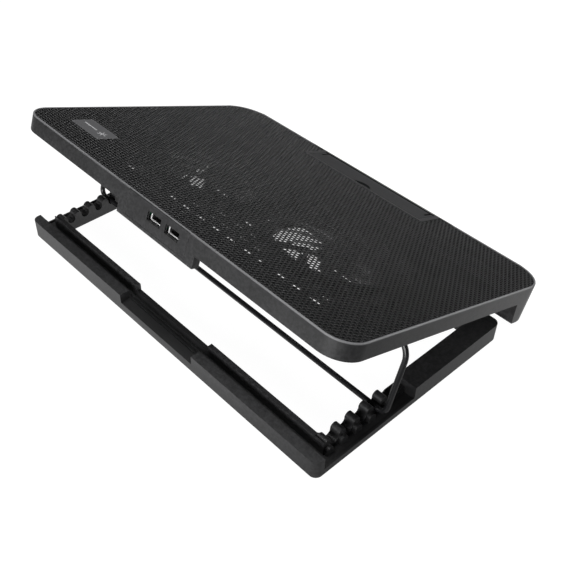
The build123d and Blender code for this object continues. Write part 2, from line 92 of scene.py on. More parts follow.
GLOSS_SPREAD = 0.16


def moulded_grain_group():
    """Grain of a spark-eroded tool: fine noise for height, and a broad noise for colour and gloss. Worn edges
    are where the pointiness of the surface passes a threshold, times a scuff noise, times Wear."""
    group, given, made = node_group(
        "moulded_grain",
        [("Colour", "NodeSocketColor", None), ("Worn", "NodeSocketColor", None),
         ("Grain", "NodeSocketFloat", 2200.0), ("Wear", "NodeSocketFloat", 0.5),
         ("Gloss", "NodeSocketFloat", 0.45)],
        [("Colour", "NodeSocketColor"), ("Roughness", "NodeSocketFloat"), ("Height", "NodeSocketFloat")])
    place = add_node(group, "ShaderNodeTexCoord").outputs["Object"]
    fine = add_node(group, "ShaderNodeTexNoise", {"Vector": place, "Scale": given.outputs["Grain"]},
                    Detail=3.0)
    broad = add_node(group, "ShaderNodeTexNoise", {"Vector": place}, Scale=28.0, Detail=4.0)
    scuffs = add_node(group, "ShaderNodeTexNoise", {"Vector": place}, Scale=420.0, Detail=5.0, Roughness=0.7)
    edge = add_node(group, "ShaderNodeNewGeometry").outputs["Pointiness"]
    rim = add_node(group, "ShaderNodeMapRange", {"Value": edge}, From_Min=0.508, From_Max=0.60)
    broken = add_node(group, "ShaderNodeMapRange", {"Value": scuffs.outputs["Fac"]}, From_Min=0.38,
                      From_Max=0.66)
    patchy = add_node(group, "ShaderNodeMath", {0: rim.outputs["Result"], 1: broken.outputs["Result"]},
                      operation="MULTIPLY")
    worn = add_node(group, "ShaderNodeMath", {0: patchy.outputs[0], 1: given.outputs["Wear"]},
                    operation="MULTIPLY")
    shade = add_node(group, "ShaderNodeMapRange", {"Value": broad.outputs["Fac"]}, From_Min=0.3, From_Max=0.7,
                     To_Min=0.82, To_Max=1.18)
    tinted = add_node(group, "ShaderNodeVectorMath", {0: given.outputs["Colour"]}, operation="SCALE")
    group.links.new(shade.outputs["Result"], tinted.inputs["Scale"])
    colour = add_node(group, "ShaderNodeMix", {"Factor": worn.outputs[0]}, data_type="RGBA")
    group.links.new(tinted.outputs[0], colour.inputs["A"])
    group.links.new(given.outputs["Worn"], colour.inputs["B"])
    group.links.new(colour.outputs["Result"], made.inputs["Colour"])
    gloss = add_node(group, "ShaderNodeMath", {0: broad.outputs["Fac"]}, operation="MULTIPLY_ADD")
    gloss.inputs[1].default_value = GLOSS_SPREAD
    group.links.new(given.outputs["Gloss"], gloss.inputs[2])
    group.links.new(gloss.outputs[0], made.inputs["Roughness"])
    group.links.new(fine.outputs["Fac"], made.inputs["Height"])
    return group


MOULDED_GRAIN = moulded_grain_group()


def new_material(name):
    """An empty node material with its shader and output joined."""
    material = bpy.data.materials.new(name)
    material.use_nodes = True
    tree = material.node_tree
    tree.nodes.clear()
    shader = tree.nodes.new("ShaderNodeBsdfPrincipled")
    out = tree.nodes.new("ShaderNodeOutputMaterial")
    tree.links.new(shader.outputs["BSDF"], out.inputs["Surface"])
    return material, tree, shader


def moulded_plastic(name, colour, worn, gloss=0.45, grain=2200.0, wear=0.5, depth=0.00003, sheen=0.5):
    """Black moulded plastic: the moulded grain with its own colours, and a bump as deep as the tool's."""
    material, tree, shader = new_material(name)
    skin = add_node(tree, "ShaderNodeGroup", node_tree=MOULDED_GRAIN)
    skin.inputs["Colour"].default_value = (*colour, 1)
    skin.inputs["Worn"].default_value = (*worn, 1)
    skin.inputs["Grain"].default_value = grain
    skin.inputs["Wear"].default_value = wear
    skin.inputs["Gloss"].default_value = gloss
    bump = add_node(tree, "ShaderNodeBump", {"Height": skin.outputs["Height"]}, Strength=0.6, Distance=depth)
    tree.links.new(skin.outputs["Colour"], shader.inputs["Base Color"])
    tree.links.new(skin.outputs["Roughness"], shader.inputs["Roughness"])
    tree.links.new(bump.outputs["Normal"], shader.inputs["Normal"])
    shader.inputs["Specular IOR Level"].default_value = sheen
    return material


def put(mesh, name, material, body, replaces=()):
    """A mesh as a shown piece: in the scene, with its material, riding on its body."""
    piece = bpy.data.objects.new(name, mesh)
    bpy.context.scene.collection.objects.link(piece)
    piece.data.materials.clear()
    piece.data.materials.append(material)
    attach(piece, body)
    if replaces:
        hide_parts(*replaces)
    return piece


SAME_POINT = 2e-6
FLAT_LIMIT, SHARP_LIMIT = radians(0.6), radians(32.0)


def softened(node, material, width, segments=2, clamp=True, flatten=True):
    """The CAD node's shape with its loose triangles merged and every edge past the sharp limit rounded to
    width. Normals lean on the larger faces, so flat walls stay flat. Clamp keeps roundings from crossing in
    tight corners. Flatten joins level faces, and is off where a joined face would close over a hole."""
    mesh = frame["nodes"][node].data.copy()
    shape = bmesh.new()
    shape.from_mesh(mesh)
    bmesh.ops.remove_doubles(shape, verts=shape.verts, dist=SAME_POINT)
    if flatten:
        bmesh.ops.dissolve_limit(shape, angle_limit=FLAT_LIMIT, verts=shape.verts, edges=shape.edges)
    for face in shape.faces:
        face.smooth = True
    shape.to_mesh(mesh)
    shape.free()
    body = frame["nodes"][node]["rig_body"]
    piece = put(mesh, f"{node}_finished", material, body, (node,))
    round_over = piece.modifiers.new("rounded_edges", "BEVEL")
    round_over.width = width
    round_over.segments = segments
    round_over.limit_method = "ANGLE"
    round_over.angle_limit = SHARP_LIMIT
    round_over.use_clamp_overlap = clamp
    round_over.miter_outer = "MITER_ARC"
    even = piece.modifiers.new("even_normals", "WEIGHTED_NORMAL")
    even.mode = "FACE_AREA"
    even.weight = 100
    return piece


black_abs = moulded_plastic("black_abs", (0.013, 0.013, 0.0135), (0.10, 0.10, 0.105), gloss=0.36)
softened("base_frame", black_abs, 0.0005)


# ---------------------------------------------------------------------------------------------
# Rubber pads. Die-cut from black sheet rubber and stuck under the base, and longer strips of the
# same rubber around the nose of the deck's foot, where it rolls on the desk.

def rubber_material():
    """Matt rubber: cloudy noise in colour, and a pitted surface from a Voronoi distance."""
    material, tree, shader = new_material("sheet_rubber")
    place = add_node(tree, "ShaderNodeTexCoord").outputs["Object"]
    cloud = add_node(tree, "ShaderNodeTexNoise", {"Vector": place}, Scale=160.0, Detail=6.0)
    pits = add_node(tree, "ShaderNodeTexVoronoi", {"Vector": place}, Scale=1400.0)
    tone = add_node(tree, "ShaderNodeMix", {"Factor": cloud.outputs["Fac"]}, data_type="RGBA")
    tone.inputs["A"].default_value = (0.008, 0.008, 0.008, 1)
    tone.inputs["B"].default_value = (0.030, 0.030, 0.029, 1)
    rough = add_node(tree, "ShaderNodeMapRange", {"Value": cloud.outputs["Fac"]}, To_Min=0.7, To_Max=0.95)
    bump = add_node(tree, "ShaderNodeBump", {"Height": pits.outputs["Distance"]}, Strength=0.5,
                    Distance=0.00008)
    tree.links.new(tone.outputs["Result"], shader.inputs["Base Color"])
    tree.links.new(rough.outputs["Result"], shader.inputs["Roughness"])
    tree.links.new(bump.outputs["Normal"], shader.inputs["Normal"])
    return material


sheet_rubber = rubber_material()
softened("base_pads", sheet_rubber, 0.0003)
softened("foot_pads", sheet_rubber, 0.0002)


# ---------------------------------------------------------------------------------------------
# Wire stand. One length of steel rod, bent cold on a former and powder coated black. Its legs
# turn in two clips under the deck, and its crossbar drops into a notch of the rack.

def mesh_from(name, points, faces, smooth=True):
    """A mesh from an n by 3 array of points and an m by 4 array of faces."""
    mesh = bpy.data.meshes.new(name)
    mesh.from_pydata(np.asarray(points, float).tolist(), [], np.asarray(faces).tolist())
    mesh.polygons.foreach_set("use_smooth", np.full(len(mesh.polygons), smooth))
    mesh.update()
    return mesh


def grid_faces(rows, columns, wrap=False):
    """Quads of a rows by columns grid of points; wrap joins the last column to the first."""
    r, c = np.meshgrid(np.arange(rows - 1), np.arange(columns if wrap else columns - 1), indexing="ij")
    r, c = r.ravel(), c.ravel()
    d = (c + 1) % columns
    return np.stack([r * columns + c, r * columns + d, (r + 1) * columns + d, (r + 1) * columns + c], 1)


def bent_line(corners, radii, steps=12):
    """Points along straight runs joined by arcs of the given radii: at each corner the arc starts where its
    tangent length, radius times the tangent of half the turn, is left to the corner."""
    line = [corners[0]]
    for before, corner, after, radius in zip(corners, corners[1:], corners[2:], radii):
        a = (before - corner) / np.linalg.norm(before - corner)
        b = (after - corner) / np.linalg.norm(after - corner)
        half = np.arccos(np.clip(a @ b, -1, 1)) / 2
        middle = corner + (a + b) / np.linalg.norm(a + b) * radius / np.sin(half)
        start = corner + a * radius / np.tan(half)
        out = start - middle
        side = np.cross(np.cross(out, corner + b * radius / np.tan(half) - middle), out)
        side *= radius / np.linalg.norm(side)
        turn = np.linspace(0, pi - 2 * half, steps)[:, None]
        line += list(middle + out * np.cos(turn) + side * np.sin(turn))
    return np.array(line + [corners[-1]])


POLE_R = 1e-6
AROUND_ROD, ROD_CHAMFER = 20, 0.0004
OFF_AXIS = np.array([0.3, 0.2, 0.1])


def rod(name, line, radius):
    """A round rod along a line: circles square to the line, each started from the cross product of its
    tangent with one fixed direction, with chamfered ends whose last rings close to a pole."""
    tangent = np.gradient(line, axis=0)
    tangent /= np.linalg.norm(tangent, axis=1)[:, None]
    first = line[0] + tangent[0] * ROD_CHAMFER
    last = line[-1] - tangent[-1] * ROD_CHAMFER
    line = np.vstack([line[0], line[0], first, line[1:-1], last, line[-1], line[-1]])
    tangent = np.vstack([tangent[:1].repeat(3, 0), tangent[1:-1], tangent[-1:].repeat(3, 0)])
    size = np.full(len(line), radius)
    size[[0, -1]] = POLE_R
    size[[1, -2]] = radius - ROD_CHAMFER
    u = np.cross(tangent, np.roll(tangent[len(tangent) // 2], 1) + OFF_AXIS)
    u /= np.linalg.norm(u, axis=1)[:, None]
    w = np.cross(tangent, u)
    angle = np.linspace(0, 2 * pi, AROUND_ROD, endpoint=False)
    ring = u[:, None] * np.cos(angle)[:, None] + w[:, None] * np.sin(angle)[:, None]
    points = line[:, None] + ring * size[:, None, None]
    mesh = mesh_from(name, points.reshape(-1, 3), grid_faces(len(line), AROUND_ROD, wrap=True))
    return tidied(mesh, 5e-6)


def tidied(mesh, merge=0.0):
    """The mesh with points nearer than merge joined, loose faces dropped and its faces turned outwards."""
    shape = bmesh.new()
    shape.from_mesh(mesh)
    if merge:
        bmesh.ops.remove_doubles(shape, verts=shape.verts, dist=merge)
    bmesh.ops.dissolve_degenerate(shape, edges=shape.edges, dist=1e-7)
    bmesh.ops.recalc_face_normals(shape, faces=shape.faces)
    shape.to_mesh(mesh)
    shape.free()
    return mesh


def coated_steel(name, colour, rough, fleck=900.0, depth=0.00004, sheen=0.5):
    """Powder coat on steel: the orange-peel ripple of baked powder as bump, and cloudy tone and gloss."""
    material, tree, shader = new_material(name)
    place = add_node(tree, "ShaderNodeTexCoord").outputs["Object"]
    ripple = add_node(tree, "ShaderNodeTexNoise", {"Vector": place}, Scale=fleck, Detail=2.0)
    cloud = add_node(tree, "ShaderNodeTexNoise", {"Vector": place}, Scale=60.0, Detail=5.0)
    tone = add_node(tree, "ShaderNodeMix", {"Factor": cloud.outputs["Fac"]}, data_type="RGBA")
    tone.inputs["A"].default_value = (*[c * 0.7 for c in colour], 1)
    tone.inputs["B"].default_value = (*[c * 1.35 for c in colour], 1)
    gloss = add_node(tree, "ShaderNodeMapRange", {"Value": cloud.outputs["Fac"]}, To_Min=rough - 0.07,
                     To_Max=rough + 0.1)
    bump = add_node(tree, "ShaderNodeBump", {"Height": ripple.outputs["Fac"]}, Strength=0.4, Distance=depth)
    tree.links.new(tone.outputs["Result"], shader.inputs["Base Color"])
    tree.links.new(gloss.outputs["Result"], shader.inputs["Roughness"])
    tree.links.new(bump.outputs["Normal"], shader.inputs["Normal"])
    shader.inputs["Specular IOR Level"].default_value = sheen
    return material


ROD_R = 0.0022
LEG_BEND_R, CROSSBAR_BEND_R = 0.016, 0.006
STAND_X, STAND_END_X = 0.1762, 0.140
stand_pivot = next(joint for joint in frame["joints"] if joint["name"] == "stand_pivot")
stand_top = np.array(stand_pivot["pos_m"][1:])
stand_low = np.array([0.05805, 0.0117])
stand_corners = [np.array([x, *p]) for x, p in (
    (-STAND_END_X, stand_top), (-STAND_X, stand_top), (-STAND_X, stand_low),
    (STAND_X, stand_low), (STAND_X, stand_top), (STAND_END_X, stand_top))]
stand_line = bent_line(stand_corners, (LEG_BEND_R, CROSSBAR_BEND_R, CROSSBAR_BEND_R, LEG_BEND_R))
wire_coat = coated_steel("black_wire_coat", (0.010, 0.010, 0.011), 0.24)
put(rod("wire_stand_rod", stand_line, ROD_R), "wire_stand_rod", wire_coat, "stand",
    ("wire_stand",))


# ---------------------------------------------------------------------------------------------
# Deck frame. The deck's outer moulding in the same black ABS: thin walls with a raised rim, and
# a deep foot along the front. Everything else on the deck is screwed or glued into it.

DECK_TILT = radians(20.58)
DECK_W, DECK_D = 0.365, 0.260
DECK_FRONT = Vector((0.0, -0.12927, 0.0303))


def on_deck(points):
    """Points given as x, distance back from the deck's front edge and depth below its face, put in place: the
    depth is turned into height, the whole turned by the tilt about X and moved to the front edge."""
    x, v, n = np.moveaxis(np.asarray(points, float), -1, 0)
    y = DECK_FRONT[1] + v * cos(DECK_TILT) + n * sin(DECK_TILT)
    z = DECK_FRONT[2] + v * sin(DECK_TILT) - n * cos(DECK_TILT)
    return np.stack([x, y, z], -1)


def deck_depth_group():
    """Where a point is on the deck, from its offset to the front edge. Depth under the face is the offset to
    the rear times the tilt's sine, less the height times its cosine. Back, the way up the slope, is the
    offset to the rear times the cosine plus the height times the sine. Across is the offset to the side."""
    ways = {"Depth": (0.0, sin(DECK_TILT), -cos(DECK_TILT)), "Back": (0.0, cos(DECK_TILT), sin(DECK_TILT)),
            "Across": (1.0, 0.0, 0.0)}
    group, _, made = node_group("deck_depth", [], [(label, "NodeSocketFloat") for label in ways])
    place = add_node(group, "ShaderNodeTexCoord").outputs["Object"]
    from_front = add_node(group, "ShaderNodeVectorMath", {0: place}, operation="SUBTRACT")
    from_front.inputs[1].default_value = DECK_FRONT
    for label, way in ways.items():
        part = add_node(group, "ShaderNodeVectorMath", {0: from_front.outputs[0]}, operation="DOT_PRODUCT")
        part.inputs[1].default_value = way
        group.links.new(part.outputs["Value"], made.inputs[label])
    return group


DECK_DEPTH = deck_depth_group()


RIM_FADE = (0.0006, 0.0012)
NEAR_TRAY_X, NEAR_TRAY_V = 0.085, 0.036


def rim_highlight_mask(tree):
    """Mask of the rim's painted highlight: 1 on the rim down to a small depth, 0 below it and around the
    stopper's tray.
    """
    spot = add_node(tree, "ShaderNodeGroup", node_tree=DECK_DEPTH)
    high = add_node(tree, "ShaderNodeMapRange", {"Value": spot.outputs["Depth"]}, From_Min=RIM_FADE[0],
                    From_Max=RIM_FADE[1], To_Min=1.0, To_Max=0.0)
    sideways = add_node(tree, "ShaderNodeMath", {0: spot.outputs["Across"]}, operation="ABSOLUTE")
    beside = add_node(tree, "ShaderNodeMath", {0: sideways.outputs[0]}, operation="GREATER_THAN")
    beside.inputs[1].default_value = NEAR_TRAY_X
    behind = add_node(tree, "ShaderNodeMath", {0: spot.outputs["Back"]}, operation="GREATER_THAN")
    behind.inputs[1].default_value = NEAR_TRAY_V
    clear = add_node(tree, "ShaderNodeMath", {0: beside.outputs[0], 1: behind.outputs[0]},
                     operation="MAXIMUM")
    on_rim = add_node(tree, "ShaderNodeMath", {0: high.outputs["Result"], 1: clear.outputs[0]},
                      operation="MULTIPLY")
    return on_rim.outputs[0]


def tinted_where(material, mask, colour):
    """Mixes a second colour over the material's own where the mask is high."""
    tree = material.node_tree
    shader = tree.nodes["Principled BSDF"]
    plain = shader.inputs["Base Color"].links[0].from_socket
    mixed = add_node(tree, "ShaderNodeMix", {"Factor": mask}, data_type="RGBA")
    tree.links.new(plain, mixed.inputs["A"])
    mixed.inputs["B"].default_value = (*colour, 1)
    tree.links.new(mixed.outputs["Result"], shader.inputs["Base Color"])
    return material


def deck_plastic():
    """The deck's moulded plastic, with a painted highlight along the rim: a lighter colour over its top edge.
    """
    material = moulded_plastic("deck_abs", (0.014, 0.014, 0.0145), (0.13, 0.13, 0.135), gloss=0.34, wear=0.6)
    # Painted highlight: the lighter colour laid along the rim's top.
    return tinted_where(material, rim_highlight_mask(material.node_tree), (0.15, 0.15, 0.155))


softened("deck_frame", deck_plastic(), 0.0003, clamp=False)


# ---------------------------------------------------------------------------------------------
# Mesh panel. One thin steel sheet punched with rows of hexagonal holes, powder coated black and
# held down inside the rim. It is drawn as two halves that meet in the middle, to keep each light.

MESH_TOP, MESH_T = 0.00050, 0.00085
HOLE_PITCH, HOLE_ROW = 0.00372, 0.00320
HOLE_R, LIP_DEPTH, LIP_SPREAD = 0.00152, 0.00020, 1.13
FIRST_ROW = 0.4
RIM = 0.0019
FRONT_R, REAR_R = 0.0300, 0.0210
TRAY_HALF_W, TRAY_V = 0.0713, 0.0313


def outside_deck(x, v, inset):
    """How far points lie outside the deck outline moved in by inset, with the way out: the distance to a
    rectangle whose corners are rounded, by the front or the rear radius."""
    half_w, half_d = DECK_W / 2 - inset, DECK_D / 2 - inset
    w = v - DECK_D / 2
    r = np.where(w < 0, FRONT_R, REAR_R) - inset
    dx, dv = np.abs(x) - (half_w - r), np.abs(w) - (half_d - r)
    corner = (dx > 0) & (dv > 0)
    away = np.where(corner, np.hypot(dx, dv), np.maximum(dx, dv))
    ux = np.where(corner, dx / np.maximum(away, 1e-9), (dx >= dv).astype(float)) * np.sign(x)
    uv = np.where(corner, dv / np.maximum(away, 1e-9), (dx < dv).astype(float)) * np.sign(w)
    return away - r, ux, uv


def trimmed(x, v):
    """Points moved onto the edge of the sheet where they lie past it or over the stopper's tray, and a mask
    of the points that moved."""
    over_tray = (np.abs(x) < TRAY_HALF_W) & (v < TRAY_V)
    to_side, to_rear = TRAY_HALF_W - np.abs(x), TRAY_V - v
    by_side = over_tray & (to_side < to_rear)
    by_rear = over_tray & ~by_side
    x = np.where(by_side, np.sign(x) * TRAY_HALF_W, x)
    v = np.where(by_rear, TRAY_V, v)
    past, ux, uv = outside_deck(x, v, RIM)
    out = past > 0
    x = np.where(out, x - ux * past, x)
    v = np.where(out, v - uv * past, v)
    return x, v, out | over_tray


def punched_half(name, side):
    """Half of the sheet. Each hole has a cell, a hexagon that fills the lattice. Rings of quads join the cell
    to the hole's lip on top, the lip to the hole as a slope, the hole's wall, and the hole to the cell
    below."""
    rows, columns = int(DECK_D / HOLE_ROW) + 2, int(DECK_W / HOLE_PITCH) + 2
    j, i = np.meshgrid(np.arange(rows), np.arange(-columns // 2, columns // 2 + 1), indexing="ij")
    cx, cv = (i + (j % 2) / 2) * HOLE_PITCH, (j + FIRST_ROW) * HOLE_ROW
    keep = (cx * side > -1e-6) if side > 0 else (cx < -1e-6)
    keep &= outside_deck(cx, cv, RIM)[0] < HOLE_PITCH
    keep &= ~((np.abs(cx) < TRAY_HALF_W - HOLE_PITCH) & (cv < TRAY_V - HOLE_PITCH))
    centre = np.stack([cx[keep], cv[keep]], -1)
    angle = radians(90) + np.arange(6) * pi / 3
    cell = np.stack([np.cos(angle) * HOLE_PITCH / 2 / cos(pi / 6),
                     np.array([2, 1, -1, -2, -1, 1]) / 3 * HOLE_ROW], -1)
    hole = np.stack([np.cos(angle), np.sin(angle)], -1) * HOLE_R
    lip = hole * LIP_SPREAD
    rings = np.stack([cell, lip, hole, hole, cell])
    depth = np.array([0, 0, LIP_DEPTH, MESH_T, MESH_T]) + MESH_TOP
    flat = centre[:, None, None] + rings[None]
    x, v, moved = trimmed(flat[..., 0], flat[..., 1])
    n = np.broadcast_to(depth[None, :, None], x.shape)
    points = on_deck(np.stack([x, v, n], -1)).reshape(-1, 3)
    r, c = np.meshgrid(np.arange(4), np.arange(6), indexing="ij")
    r, c = r.ravel(), c.ravel()
    quad = np.stack([r * 6 + c, (r + 1) * 6 + c, (r + 1) * 6 + (c + 1) % 6, r * 6 + (c + 1) % 6], -1)
    faces = (np.arange(len(centre))[:, None, None] * 30 + quad[None]).reshape(-1, 4)
    faces = faces[~moved.reshape(-1)[faces].all(1)]
    mesh = mesh_from(name, points, faces, smooth=False)
    shape = bmesh.new()
    shape.from_mesh(mesh)
    bmesh.ops.remove_doubles(shape, verts=shape.verts, dist=4e-6)
    bmesh.ops.dissolve_degenerate(shape, edges=shape.edges, dist=1e-6)
    loose = [point for point in shape.verts if not point.link_faces]
    bmesh.ops.delete(shape, geom=loose, context="VERTS")
    shape.to_mesh(mesh)
    shape.free()
    return mesh


LIP_START, LIP_FULL, LIP_FADE = 0.00002, 0.00008, 0.00006


def punched_coat():
    """The mesh's powder coat, with a painted highlight on the sloping lips of its holes: a lighter colour in
    a band of depth between the flat face and the straight part of a hole's wall."""
    material = coated_steel("black_mesh_coat", (0.006, 0.006, 0.0063), 0.38, fleck=1500.0, depth=0.000004,
                            sheen=0.34)
    tree = material.node_tree
    depth = add_node(tree, "ShaderNodeGroup", node_tree=DECK_DEPTH).outputs["Depth"]
    below = add_node(tree, "ShaderNodeMapRange", {"Value": depth}, From_Min=MESH_TOP + LIP_START,
                     From_Max=MESH_TOP + LIP_FULL)
    above = add_node(tree, "ShaderNodeMapRange", {"Value": depth}, From_Min=MESH_TOP + LIP_DEPTH,
                     From_Max=MESH_TOP + LIP_DEPTH + LIP_FADE, To_Min=1.0, To_Max=0.0)
    lip = add_node(tree, "ShaderNodeMath", {0: below.outputs["Result"], 1: above.outputs["Result"]},
                   operation="MULTIPLY")
    # Painted highlight: the lighter colour of the lips.
    return tinted_where(material, lip.outputs[0], (0.085, 0.085, 0.087))


mesh_coat = punched_coat()
for side_name, side_sign in (("left", -1), ("right", 1)):
    half = f"mesh_panel_{side_name}"
    put(punched_half(half, side_sign), half, mesh_coat, "deck", ("mesh_panel",))


# ---------------------------------------------------------------------------------------------
# Name plate. A small pressed plate in grey satin-anodised aluminium, glued on the mesh at the
# rear right corner. It carries a raised border and a plain cooling sign, with no lettering.

PLATE_X, PLATE_V = (0.1168, 0.1548), (0.2113, 0.2325)
PLATE_TOP, PLATE_FOOT, PLATE_R = -0.0003, 0.0005, 0.0016


def rounded_rectangle(half_w, half_d, radius, steps=6):
    """Points round a rectangle whose corners are arcs, counter-clockwise."""
    turn = np.linspace(0, pi / 2, steps)
    points = []
    for quarter, (sx, sy) in enumerate(((1, 1), (-1, 1), (-1, -1), (1, -1))):
        a = turn + quarter * pi / 2
        points.append(np.stack([sx * (half_w - radius) + radius * np.cos(a),
                                sy * (half_d - radius) + radius * np.sin(a)], -1))
    return np.vstack(points)


def stacked(name, loops, place):
    """A closed piece from loops of equal length, each an n by 2 outline and a depth, joined by quads and
    capped at both ends."""
    count = len(loops[0][0])
    points = np.vstack([np.column_stack([outline, np.full(count, depth)]) for outline, depth in loops])
    faces = grid_faces(len(loops), count, wrap=True).tolist()
    faces += [list(range(count)), list(range(len(points) - count, len(points)))]
    mesh = bpy.data.meshes.new(name)
    mesh.from_pydata(place(points).tolist(), [], faces)
    mesh.update()
    return tidied(mesh)


def joined(name, meshes):
    """Several meshes as one."""
    shape = bmesh.new()
    for mesh in meshes:
        shape.from_mesh(mesh)
        bpy.data.meshes.remove(mesh)
    whole = bpy.data.meshes.new(name)
    shape.to_mesh(whole)
    shape.free()
    return whole


DRAWN_LINES = (30.0, 2600.0, 900.0)


def brushed_metal(name, colour, rough, metallic=1.0):
    """Metal drawn one way: noise stretched along X for the drawn lines, in colour, gloss and bump."""
    material, tree, shader = new_material(name)
    place = add_node(tree, "ShaderNodeTexCoord").outputs["Object"]
    drawn = add_node(tree, "ShaderNodeMapping", {"Vector": place}, Scale=DRAWN_LINES)
    line = add_node(tree, "ShaderNodeTexNoise", {"Vector": drawn.outputs[0]}, Scale=1.0, Detail=3.0)
    cloud = add_node(tree, "ShaderNodeTexNoise", {"Vector": place}, Scale=90.0, Detail=3.0)
    tone = add_node(tree, "ShaderNodeMix", {"Factor": line.outputs["Fac"]}, data_type="RGBA")
    tone.inputs["A"].default_value = (*[c * 0.78 for c in colour], 1)
    tone.inputs["B"].default_value = (*[min(1.0, c * 1.2) for c in colour], 1)
    gloss = add_node(tree, "ShaderNodeMapRange", {"Value": cloud.outputs["Fac"]}, To_Min=rough - 0.06,
                     To_Max=rough + 0.1)
    bump = add_node(tree, "ShaderNodeBump", {"Height": line.outputs["Fac"]}, Strength=0.3, Distance=0.00001)
    tree.links.new(tone.outputs["Result"], shader.inputs["Base Color"])
    tree.links.new(gloss.outputs["Result"], shader.inputs["Roughness"])
    tree.links.new(bump.outputs["Normal"], shader.inputs["Normal"])
    shader.inputs["Metallic"].default_value = metallic
    return material


def plate_at(points):
    """Points measured from the plate's middle, with depth, put on the deck."""
    middle = np.array([sum(PLATE_X) / 2, sum(PLATE_V) / 2, 0.0])
    return on_deck(points + middle)


def name_plate():
    """The plate's shell: its side rises to a rounded shoulder, the border stands a little above the field."""
    half_w, half_d = (PLATE_X[1] - PLATE_X[0]) / 2, (PLATE_V[1] - PLATE_V[0]) / 2
    steps = [(0.0, PLATE_FOOT), (0.0, PLATE_TOP + 0.0002), (0.0001, PLATE_TOP + 0.00006), (0.0003, PLATE_TOP),
             (0.0009, PLATE_TOP), (0.0011, PLATE_TOP + 0.00012)]
    loops = [(rounded_rectangle(half_w - inset, half_d - inset, PLATE_R - inset), depth)
             for inset, depth in steps]
    return stacked("name_plate", loops, plate_at)


STAR_X, BAR_X = -0.0105, 0.0055


def cooling_sign():
    """A six-armed star of three crossed bars and a plain bar beside it, a little proud of the plate's field.
    Crossed bars differ slightly in height, so that no two tops lie in one plane."""
    arm = rounded_rectangle(0.0042, 0.00032, 0.0003, 4)
    bars = [arm @ np.array([[cos(turn), sin(turn)], [-sin(turn), cos(turn)]]) + [STAR_X, 0.0]
            for turn in (0, pi / 3, 2 * pi / 3)]
    bars.append(rounded_rectangle(0.0085, 0.0006, 0.0005, 4) + [BAR_X, 0.0])
    made = []
    for k, outline in enumerate(bars):
        top = PLATE_TOP - 0.00002 * (k % 3)
        loops = [(outline, PLATE_TOP + 0.0002), (outline, top)]
        made.append(stacked(f"sign_bar_{k}", loops, plate_at))
    return joined("cooling_sign", made)


plate_metal = brushed_metal("satin_grey_plate", (0.15, 0.15, 0.155), 0.40, metallic=0.45)
sign_metal = brushed_metal("bright_sign", (0.62, 0.62, 0.63), 0.34, metallic=0.3)
put(name_plate(), "name_plate", plate_metal, "deck", ("badge_plate",))
put(cooling_sign(), "cooling_sign", sign_metal, "deck")


# ---------------------------------------------------------------------------------------------
# Stopper flap. A smooth satin moulding that stands up on two steel pins to hold the laptop.
# Its face is polished finer than the frame, and a half-round notch takes a fingernail.

flap_abs = moulded_plastic("flap_abs", (0.018, 0.018, 0.019), (0.10, 0.10, 0.105), gloss=0.40, grain=3400.0,
                           wear=0.35, depth=0.000012, sheen=0.4)
softened("stopper_flap", flap_abs, 0.0003)
pin_steel = brushed_metal("bright_pin_steel", (0.52, 0.52, 0.53), 0.26)
softened("stopper_pins", pin_steel, 0.0002)
softened("hinge_pins", pin_steel, 0.0003)


# ---------------------------------------------------------------------------------------------
# Sockets. A cover plate let into the rear wall, two folded nickel-plated shells, and inside each
# a black tongue with four gold-plated contacts, all on one green board.

port_abs = moulded_plastic("port_abs", (0.014, 0.014, 0.0145), (0.10, 0.10, 0.105), gloss=0.33, wear=0.4)
softened("port_panel", port_abs, 0.0002)


FLANGE_BACK = (0.2556, 0.2559)


def shell_nickel():
    """Nickel plate, near-white on the flange at the mouth as a painted highlight and dark inside the shell as
    painted shade, split by distance back.
    """
    material = brushed_metal("nickel_plate", (0.055, 0.055, 0.056), 0.40, metallic=0.2)
    tree = material.node_tree
    back = add_node(tree, "ShaderNodeGroup", node_tree=DECK_DEPTH).outputs["Back"]
    mouth = add_node(tree, "ShaderNodeMapRange", {"Value": back}, From_Min=FLANGE_BACK[0],
                     From_Max=FLANGE_BACK[1])
    # Painted highlight on the flange, over a dark base that stands in for shade inside the shell.
    return tinted_where(material, mouth.outputs["Result"], (0.98, 0.98, 0.98))


nickel = shell_nickel()
contact_black = moulded_plastic("contact_black", (0.010, 0.010, 0.010), (0.03, 0.03, 0.03), gloss=0.25,
                                wear=0.1, depth=0.000006)
gold = brushed_metal("gold_contacts", (0.30, 0.26, 0.18), 0.30)
PORTS = {"a": 0.0031, "b": -0.0174}
PORT_N = 0.0101
CONTACT_X, CONTACT_V = (-0.0035, -0.001, 0.001, 0.0035), 0.2487
CONTACT_HALF_W, CONTACT_HALF_L, CONTACT_R = 0.0005, 0.0042, 0.0002


def contacts(x):
    """Four flat contact strips on the underside of a tongue, 2 mm apart in the middle and 2.5 mm outside."""
    made = []
    for k, dx in enumerate(CONTACT_X):
        outline = rounded_rectangle(CONTACT_HALF_W, CONTACT_HALF_L, CONTACT_R, 3) + [x + dx, CONTACT_V]
        loops = [(outline, PORT_N + 0.00008), (outline, PORT_N + 0.0002)]
        made.append(stacked(f"strip_{k}", loops, on_deck))
    return joined("contact_strips", made)


for label, port_x in PORTS.items():
    softened(f"usb_shell_{label}", nickel, 0.0002, 3, clamp=False)
    softened(f"usb_tongue_{label}", contact_black, 0.00015)
    put(contacts(port_x), f"contact_strips_{label}", gold, "deck")


